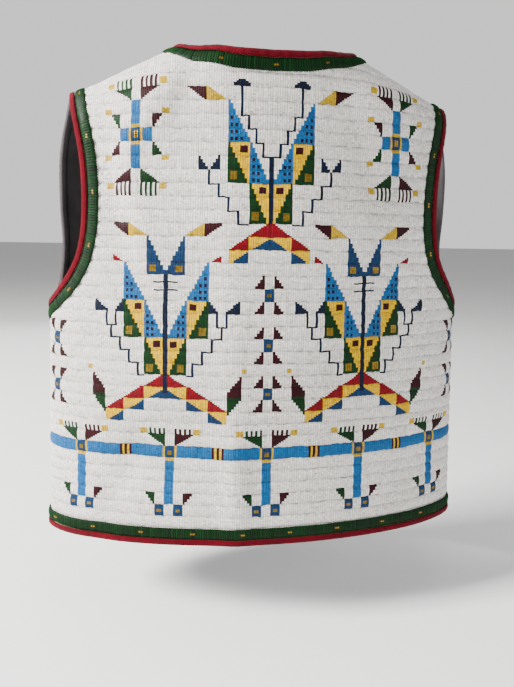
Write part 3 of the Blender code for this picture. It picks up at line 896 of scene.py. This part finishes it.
def beadLanes(name, face, first, last, chart, seed):
    # one sheet of beads from string to string, each bead a small raised facet
    chance = np.random.default_rng(seed)
    column, row = np.meshgrid(np.arange(first, last + 1), np.arange(topRow, bottomRow + 1))
    columnMid, rowMid = column[:-1, :-1] + 0.5, row[:-1, :-1] + 0.5
    keep = keptBeads(face, columnMid, rowMid)
    across, up, height = laneCorners(face, column, row, chance)
    corners = drape(across.ravel(), up.ravel(), height.ravel(), face)
    thick = chance.normal(0, laneLook["bulge"], (borderCount, last - first))
    thick = thick[(row[:-1, :-1] - topRow) // beads, np.arange(last - first)[None, :]]
    midHeight = laneDome(rowMid)[1] + laneLook["beadRise"] + thick
    middles = drape(middleOf(across).ravel(), middleOf(up).ravel(), midHeight.ravel(), face)
    points = np.vstack([corners, middles])
    flats = np.vstack([sideBySide(column.ravel(), row.ravel()),
                       sideBySide(columnMid.ravel(), rowMid.ravel())])
    # four facets for each bead that is kept
    wide = last - first + 1
    r, c = np.nonzero(keep)
    a, b = r * wide + c, r * wide + c + 1
    d, e = a + wide, b + wide
    m = len(corners) + r * (wide - 1) + c
    four = (sideBySide(d, e, m), sideBySide(e, b, m), sideBySide(b, a, m), sideBySide(a, d, m))
    facets = sideBySide(*four).reshape(-1, 3)
    if face < 0:
        facets = facets[:, ::-1]
    # a skirt round the sheet goes down to the hide, on points of its own
    rim = rimOf(facets)
    used = np.unique(rim)
    raised = np.full(len(points), -1)
    raised[used] = len(points) + np.arange(len(used))
    lowered = raised + len(used)
    under = drape(across.ravel()[used], up.ravel()[used], np.full(len(used), laneLook["skirt"]), face)
    x, y = rim[:, 0], rim[:, 1]
    skirt = np.vstack([sideBySide(raised[y], raised[x], lowered[x]),
                       sideBySide(raised[y], lowered[x], lowered[y])])
    faces = np.vstack([facets, skirt])
    points = np.vstack([points, points[used], under])
    flats = np.vstack([flats, flats[used], flats[used]])
    # colours, and brass where the chart has gold
    which = np.repeat(chart[r, c + first + cut["columns"]], 4)
    colours = np.ones((len(faces), 4))
    colours[:len(facets), :3] = paintColours[which] * np.repeat(beadTints(len(r), chance), 4, axis=0)
    # the skirt gets a painted shade: the white beads' colour darkened where the sheet goes down to the hide
    colours[len(facets):, :3] = paintColours[paintNames.index("white")] * laneLook["skirtShade"]
    brass = np.zeros(len(faces))
    brass[:len(facets)] = which == paintNames.index("gold")
    kept, faces = np.unique(faces, return_inverse=True)
    faces = faces.reshape(-1, 3)
    grid = flats[kept][faces.ravel()]
    baked = (grid - [first, topRow]) / [last - first, bottomRow - topRow]
    baked = baked * [laneBake["across"], laneBake["down"]]
    outerCorner = np.arange(3 * len(skirt)) % 3 == 2
    baked[3 * len(facets):, 0] = laneBake["skirt"] + laneBake["skirtWide"] * outerCorner
    corners = {"beadColour": np.repeat(colours, 3, axis=0), "brass": np.repeat(brass, 3)}
    return makePiece(name, points[kept], faces, whiteBeads, {"OFBake": baked, "beadGrid": grid}, corners,
                     ())


backChart, frontChart = drawBack(), drawFronts()
lanePieces = (
    beadLanes("beads_back_left", 1, 0, cut["columns"], backChart, 11),
    beadLanes("beads_back_right", 1, -cut["columns"], 0, backChart, 12),
    beadLanes("beads_front_left", -1, laneLook["frontString"], cut["columns"], frontChart, 13),
    beadLanes("beads_front_right", -1, -cut["columns"], -laneLook["frontString"], frontChart, 14),
)
print("lanes of beads made")

# hide and lining

wallLook = {
    "hide": {"outside": -0.0021, "inside": -0.0032, "step": 0.010, "wrinkle": 0.0},
    "lining": {"outside": -0.0035, "inside": -0.0046, "step": 0.007, "wrinkle": 0.0006},
    "waves": 9, "waveSizes": (90, 260), "wrinkleOutside": 0.2, "clearOfEdge": 0.45, "bakeWide": 0.48,
    "merge": 1e-7,
}


def wrinkles(flat, seed):
    waves = np.random.default_rng(seed)
    lift = np.zeros(len(flat))
    for _ in range(wallLook["waves"]):
        turn = waves.uniform(0, aboutOneTurn)
        size, phase = waves.uniform(*wallLook["waveSizes"]), waves.uniform(0, aboutOneTurn)
        wave = (flat[:, 0] * math.cos(turn) + flat[:, 1] * math.sin(turn)) * size + phase
        lift += np.sin(wave) / wallLook["waves"]
    return lift


def clothWall(face, flip, look, seed):
    # a closed wall of cloth or hide on the whole cut, with the wrinkles its look asks for
    step = look["step"]
    outline = outlineOf(face, step)
    low, high = outline.min(axis=0), outline.max(axis=0)
    places = np.meshgrid(np.arange(low[0], high[0], step), np.arange(low[1], high[1], step))
    across, up = (place.ravel() for place in places)
    fromEdge = distanceTo(np.vstack([outline, outline[:1]]), across, up)
    keep = insideOf(outline, across, up) & (fromEdge > step * wallLook["clearOfEdge"])
    spots = [Vector(p) for p in outline] + [Vector(p) for p in zip(across[keep], up[keep])]
    border = [list(range(len(outline)))]
    verts, _, faces, _, _, sources = delaunay_2d_cdt(spots, [], border, 1, wallLook["merge"])
    flat = np.array([v[:] for v in verts])
    faces = np.array([f for f, source in zip(faces, sources) if source])
    lift = wrinkles(flat, seed) * look["wrinkle"]
    sign = -1.0 if flip else 1.0
    top = drape(flat[:, 0] * sign, flat[:, 1], look["outside"] + lift * wallLook["wrinkleOutside"], face)
    bottom = drape(flat[:, 0] * sign, flat[:, 1], look["inside"] + lift, face)
    count = len(flat)
    rim = rimOf(faces)
    a, b = rim[:, 0], rim[:, 1]
    walls = np.vstack([sideBySide(b, a, a + count), sideBySide(b, a + count, b + count)])
    whole = np.vstack([faces, faces[:, ::-1] + count, walls])
    if (face > 0) == flip:
        whole = whole[:, ::-1]
    flats = np.vstack([flat, flat])
    span = max(high - low)
    uv = (flats - low) / span * wallLook["bakeWide"]
    uv[count:, 0] += 0.5      # the inside is baked beside the outside
    uv[:, 1] *= 2.0 if span == high[1] - low[1] else 1.0
    return np.vstack([top, bottom]), whole, {"OFBake": uv[whole.ravel()], "flatCloth": flats[whole.ravel()]}


for i, (panel, face, flip) in enumerate(panels):
    for layer, material, node, slot in (("hide", hide, "panel", "beads_white"),
                                        ("lining", charcoalCloth, "lining", "lining_charcoal")):
        points, faces, uvMaps = clothWall(face, flip, wallLook[layer], seeds["walls"] + i)
        makePiece(f"{layer}_{panel}", points, faces, material, uvMaps, {},
                                             (f"{panel}_{node}",))
print("hide and lining made")

# green edging and red binding along every free edge

stripLook = {
    "turn": 0.045,            # a strip turns to its seams over this length at its ends
    "bakeRows": 12, "bakeEnds": 0.01, "bakeFoot": 0.04, "bakeTall": 0.9, "pastLast": 1e-4,
}


def atSeam(point, distance, outward):
    if abs(abs(point[0]) - cut["side"]) < sameSpot:
        return np.array([point[0], point[1] + outward * distance])
    across = point[0] + outward * distance
    return np.array([across, float(seamUp(across)[0]) - cut["seamGap"] / 2])


def stripFlats(line, distances, inwardLeft, ends):
    # flat places at distances in from an edge, turned to the seams at the ends
    along = np.gradient(line, axis=0)
    along /= np.linalg.norm(along, axis=1)[:, None]
    inward = sideBySide(-along[:, 1], along[:, 0]) * (1 if inwardLeft else -1)
    travelled = lengthsAlong(line)
    turnStart = np.maximum(0.0, 1 - travelled / stripLook["turn"])
    turnEnd = np.maximum(0.0, 1 - (travelled[-1] - travelled) / stripLook["turn"])
    turn = np.where(turnStart > 0, turnStart, turnEnd)[:, None]
    flats = np.zeros((len(line), len(distances), 2))
    for j, distance in enumerate(distances):
        square = line + inward * distance
        first = line + atSeam(line[0], distance, ends[0]) - line[0]
        last = line + atSeam(line[-1], distance, ends[1]) - line[-1]
        seamed = np.where((turnStart > 0)[:, None], first, last)
        flats[:, j] = turn * seamed + (1 - turn) * square
    return flats, travelled


def bakeInRows(grid):
    # a long strip is baked in several rows, one over the other
    rowCount = stripLook["bakeRows"]
    spread = (grid - grid.min(axis=0)) / (grid.max(axis=0) - grid.min(axis=0))
    place = spread[:, 0] * rowCount
    middle = np.repeat(place.reshape(-1, 3).mean(axis=1), 3)
    row = np.clip(np.floor(middle), 0, rowCount - 1)
    along = np.clip(place - row, 0, 1) * (1 - 2 * stripLook["bakeEnds"]) + stripLook["bakeEnds"]
    up = (row + stripLook["bakeFoot"] + spread[:, 1] * stripLook["bakeTall"]) / rowCount
    return sideBySide(along, up)


def stripPiece(name, flats, heights, face, flip, material, grid, corners, replaced):
    # a tube of cloth or beads from its flat places and heights, closed at both ends
    stations, around = heights.shape
    sign = -1.0 if flip else 1.0
    points = drape(flats[..., 0].ravel() * sign, flats[..., 1].ravel(), heights.ravel(), face)
    i, j = (index.ravel() for index in np.meshgrid(np.arange(stations - 1), np.arange(around), indexing="ij"))
    a, b = i * around + j, i * around + (j + 1) % around
    pair = (sideBySide(a, b, b + around), sideBySide(a, b + around, a + around))
    faces = sideBySide(*pair).reshape(-1, 3)
    fan = np.arange(1, around - 1)
    caps = np.vstack([sideBySide(fan * 0, fan + 1, fan),
                      sideBySide(fan * 0, fan, fan + 1) + (stations - 1) * around])
    whole = np.vstack([faces, caps])
    first, second, third = (points[whole[:, k]] for k in range(3))
    if np.einsum("ij,ij->i", first, np.cross(second, third)).sum() < 0:
        whole = whole[:, ::-1]    # it was inside out
    # facets that close the tube end past the grid's last row, not back at its first
    wrap = np.zeros((len(whole), 3), bool)
    wrap[:len(faces)] = (np.repeat(j, 2) == around - 1)[:, None] & (whole[:len(faces)] % around == 0)
    places = grid.reshape(-1, 2)
    grid = places[whole.ravel()]
    grid[wrap.ravel(), 1] = places[:, 1].max() + stripLook["pastLast"]
    owner = np.concatenate([np.repeat(i * around + j, 2), np.zeros(len(caps), int)])
    attributes = {label: np.repeat(rows[owner], 3, axis=0) for label, rows in corners.items()}
    uvMaps = {"OFBake": bakeInRows(grid), "beadGrid" if corners else "flatCloth": grid}
    return makePiece(name, points, whole, material, uvMaps, attributes, replaced)


edgingLook = {
    "start": 0.0063, "end": 0.0189, "beads": 7, "low": 0.0005, "crown": 0.0019, "archPower": 3.2,
    "foot": 0.0002, "stringDrop": 0.0012, "beadDrop": 0.00014, "tuck": 0.0011, "uneven": 0.00012,
    "lean": 0.00016, "shadeSpread": 0.22, "beadSpread": 0.08, "darkest": 0.45, "palest": 1.6,
    "brass": "A07A2C", "brassBead": 3, "brassWander": 0.0015,
}
brassDots = {                 # where the first pair of brass beads is, and how far to the next
    "hem": {"first": 0.018, "every": 0.0535}, "neck": {"first": 0.033, "every": 0.053},
    "armhole_left": {"first": 0.044, "every": 0.049}, "armhole_right": {"first": 0.022, "every": 0.050},
    "edge": {"first": 0.024, "every": 0.053}, "armhole": {"first": 0.028, "every": 0.050},
}


def greenEdging(name, edge, face, flip, dots, seed, node):
    # strings of seven beads side by side, square to the edge, with pairs of brass ones
    look = edgingLook
    chance = np.random.default_rng(seed)
    line, inwardLeft, ends = edge
    length = np.linalg.norm(np.diff(line, axis=0), axis=1).sum()
    strings = int(length / cut["string"])
    halfString = length / (2 * strings)
    line = evenPoints(line, halfString)
    count = look["beads"] * 2 + 1
    distances = np.linspace(look["start"], look["end"], count)
    flats, _ = stripFlats(line, [look["start"], *distances, look["end"]], inwardLeft, ends)
    # the inner end of each gap between strings is drawn back
    inward = (flats[2:-1:2, -4] - flats[2:-1:2, -1]) / (distances[-1] - distances[-3])
    flats[2:-1:2, -2:] += (inward * look["tuck"])[:, None, :]
    t = np.linspace(-1.0, 1.0, count)
    arch = look["low"] + (look["crown"] - look["low"]) * (1 - np.abs(t) ** look["archPower"])
    arch = arch - look["beadDrop"] * (np.arange(count) % 2 == 0)
    stations = np.arange(len(line))
    groove = look["stringDrop"] * (stations % 2 == 0)
    uneven = np.repeat(chance.normal(0, look["uneven"], strings + 1), 2)[:len(line)]
    heights = np.full((len(line), count + 2), look["foot"])
    heights[:, 1:-1] = arch[None, :] - groove[:, None] + uneven[:, None]
    lean = np.repeat(chance.normal(0, look["lean"], strings + 1), 2)[:len(line)]
    flats[1:-1] += (np.gradient(line, axis=0) / halfString)[1:-1, None, :] * lean[1:-1, None, None]
    # a shade for each string and bead, and the brass ones
    around = count + 2
    string = np.repeat(stations // 2, around)
    bead = np.tile(np.clip((np.arange(around) - 1) // 2, 0, look["beads"] - 1), len(line))
    shade = chance.normal(1.0, look["shadeSpread"], strings + 2)[string]
    shade = shade * chance.normal(1.0, look["beadSpread"], len(shade))
    shade = np.clip(shade, look["darkest"], look["palest"])
    colours = np.ones((len(shade), 4))
    colours[:, :3] = np.array(linear(glass["edging"]["base"])) * shade[:, None]
    brass = np.zeros(len(shade))
    for middle in np.arange(dots["first"], length, dots["every"]):
        at = int((middle + chance.normal(0, look["brassWander"])) / cut["string"])
        hit = ((string == at) | (string == at + 1)) & (bead == look["brassBead"])
        brass[hit] = 1.0
        colours[hit, :3] = linear(look["brass"])
    across = np.concatenate([[-0.5], np.arange(count) / 2, [look["beads"] + 0.5]])
    grid = np.stack(np.meshgrid(stations / 2, across, indexing="ij"), axis=2)
    stripPiece(name, flats, heights, face, flip, greenBeads, grid, {"beadColour": colours, "brass": brass},
               (node,))


bindingLook = {               # profiles: distance in from the edge and height over the lanes
    "round": (
        (0.0056, 0.0005), (0.0060, 0.0011), (0.0045, 0.0016), (0.0020, 0.0017), (-0.0002, 0.0014),
        (-0.0010, 0.0006), (-0.0013, -0.0010), (-0.0012, -0.0030), (-0.0008, -0.0043), (-0.0003, -0.0044),
        (-0.0004, -0.0010), (0.0000, 0.0003),
    ),
    "under": (                # goes in behind the hide, where the lining is turned round the edge
        (0.0056, 0.0005), (0.0060, 0.0011), (0.0045, 0.0016), (0.0020, 0.0017), (0.0004, 0.0014),
        (-0.0003, 0.0006), (-0.0005, -0.0010), (-0.0005, -0.0030), (0.0000, -0.0034), (0.0040, -0.0034),
        (0.0040, -0.0031), (-0.0001, -0.0030), (-0.0001, -0.0010), (0.0003, 0.0002),
    ),
    "turned": (
        (-0.0006, -0.0008), (-0.0012, -0.0008), (-0.0016, -0.0020), (-0.0015, -0.0036), (-0.0006, -0.0049),
        (0.0020, -0.0052), (0.0062, -0.0051), (0.0064, -0.0047), (0.0020, -0.0047), (-0.0002, -0.0044),
        (-0.0007, -0.0034), (-0.0007, -0.0020),
    ),
    "step": 0.0022, "pucker": 0.00022, "puckerSizes": (520.0, 830.0, 1400.0), "puckerFade": 0.01,
    "puckerShares": (0.2, 0.8, 1.0, 0.7, 0.3),    # for the profile's points 1 to 5
}


def clothStrip(name, edge, profile, face, flip, material, seed, node):
    # a folded strip of cloth, which puckers a little along its sewn side
    look = bindingLook
    chance = np.random.default_rng(seed)
    line, inwardLeft, ends = edge
    line = evenPoints(line, look["step"])
    profile = np.array(profile)
    flats, travelled = stripFlats(line, profile[:, 0], inwardLeft, ends)
    heights = np.tile(profile[:, 1], (len(line), 1))
    wave = np.zeros(len(line))
    for size in look["puckerSizes"]:
        wave += np.sin(travelled * size + chance.uniform(0, aboutOneTurn)) * chance.uniform(0.5, 1.0)
    wave *= np.clip(np.minimum(travelled, travelled[-1] - travelled) / look["puckerFade"], 0, 1)
    heights[:, 1:6] += wave[:, None] * look["pucker"] * np.array(look["puckerShares"])
    along = lengthsAlong(profile)
    grid = np.stack(np.meshgrid(travelled, along, indexing="ij"), axis=2)
    strip = stripPiece(name, flats, heights, face, flip, material, grid, {}, node)
    width = (along[-1] + float(np.linalg.norm(profile[-1] - profile[0]))) / 2
    return strip, (float(travelled[-1]), width)


edgeCount = 0
for panel, face, flip in panels:
    for label, edge in freeEdges(face, fineness["strips"]).items():
        place = f"{panel}_{label}"
        greenEdging("edging_" + place, edge, face, flip, brassDots[label], seeds["edging"] + edgeCount,
                    "edge_lane_" + place)
        turned = label == "armhole"
        profile = bindingLook["under" if turned else "round"]
        clothStrip("cloth_binding_" + place, edge, profile, face, flip, redCloth,
                                 seeds["binding"] + edgeCount, ("binding_" + place,))
        if turned:
            clothStrip("lining_turned_" + place, edge, bindingLook["turned"], face, flip,
                                     charcoalCloth, seeds["turned"] + edgeCount, ())
        edgeCount += 1
print("edging and binding made")

# what each cloth was cut to

for panel, face, _ in panels:
    outline = outlineOf(face, fineness["outline"])

# floor, light and camera

stageLook = {
    "floorDown": 0.60, "floorSize": 30.0, "floor": (0.90, 0.90, 0.90), "floorRoughness": 0.9,
    "walls": 0.95, "ceiling": 0.22, "wallsTo": 0.36, "ceilingFrom": 0.60,
}
lights = (                    # name, place, height aimed at, size, power and colour
    ("keyLight", (2.3, 0.50, 1.05), -0.22, 0.7, 290.0, (1.0, 0.975, 0.935)),
    ("fillLight", (-1.7, 1.2, 0.3), -0.25, 1.2, 17.0, (0.96, 0.98, 1.0)),
    ("topLight", (0.1, 0.3, 1.9), -0.1, 1.4, 10.0, (1.0, 1.0, 1.0)),
    ("frontLight", (0.4, -2.0, 0.6), -0.25, 1.6, 16.0, (1.0, 1.0, 1.0)),
)


def addFloor():
    mesh = bpy.data.meshes.new("floor")
    half = stageLook["floorSize"]
    z = -stageLook["floorDown"]
    corners = [(-half, -half, z), (half, -half, z), (half, half, z), (-half, half, z)]
    mesh.from_pydata(corners, [], [(0, 1, 2, 3)])
    floor = bpy.data.objects.new("floor", mesh)
    bpy.context.scene.collection.objects.link(floor)
    fixed = {"Roughness": stageLook["floorRoughness"]}
    mesh.materials.append(startMaterial("paleFloor", stageLook["floor"], fixed)[0])


def addLight(name, spot, aimUp, size, power, colour):
    light = bpy.data.lights.new(name, "AREA")
    light.shape = "RECTANGLE"
    light.size = light.size_y = size
    light.energy = power
    light.color = colour
    item = bpy.data.objects.new(name, light)
    item.location = spot
    item.rotation_euler = (Vector((0, 0, aimUp)) - Vector(spot)).to_track_quat("-Z", "Y").to_euler()
    bpy.context.scene.collection.objects.link(item)


def addStudio():
    # pale all round, dimmer overhead
    world = bpy.data.worlds.new("studio")
    bpy.context.scene.world = world
    world.use_nodes = True
    s = Shade(world.node_tree)
    toward = s.make("ShaderNodeTexCoord", {}, {}, out="Generated")
    height = s.make("ShaderNodeSeparateXYZ", {}, {0: toward}, out=2)
    strength = height.spread(stageLook["wallsTo"], stageLook["ceilingFrom"],
                             stageLook["walls"], stageLook["ceiling"])
    background = world.node_tree.nodes["Background"]
    background.inputs["Color"].default_value = (1.0, 1.0, 1.0, 1.0)
    world.node_tree.links.new(strength.socket, background.inputs["Strength"])


view = {
    "azimuth": 173.03, "elevation": 10.30, "roll": 0.9326, "distance": 0.6871, "shiftRight": -0.00193,
    "shiftUp": -0.0328, "aimDown": 0.2552, "focalPixels": 585.7, "frame": (514, 687), "sensor": 36.0,
}


def addCamera():
    azimuth, elevation, roll = (math.radians(view[k]) for k in ("azimuth", "elevation", "roll"))
    back = Vector((math.sin(azimuth) * math.cos(elevation), -math.cos(azimuth) * math.cos(elevation),
                   math.sin(elevation)))
    right = Vector((math.cos(azimuth), math.sin(azimuth), 0.0))
    up = back.cross(right)
    turnedRight = right * math.cos(roll) + up * math.sin(roll)
    turnedUp = up * math.cos(roll) - right * math.sin(roll)
    place = back * view["distance"] + right * view["shiftRight"] + up * view["shiftUp"]
    place.z -= view["aimDown"]
    data = bpy.data.cameras.new("camera")
    data.sensor_width = view["sensor"]
    data.lens = view["focalPixels"] / max(view["frame"]) * view["sensor"]
    camera = bpy.data.objects.new("camera", data)
    rotation = Matrix((turnedRight, turnedUp, back)).transposed()
    camera.matrix_world = Matrix.Translation(place) @ rotation.to_4x4()
    bpy.context.scene.collection.objects.link(camera)
    bpy.context.scene.camera = camera


addFloor()
for row in lights:
    addLight(*row)
addStudio()
addCamera()
print("camera, light and floor made")
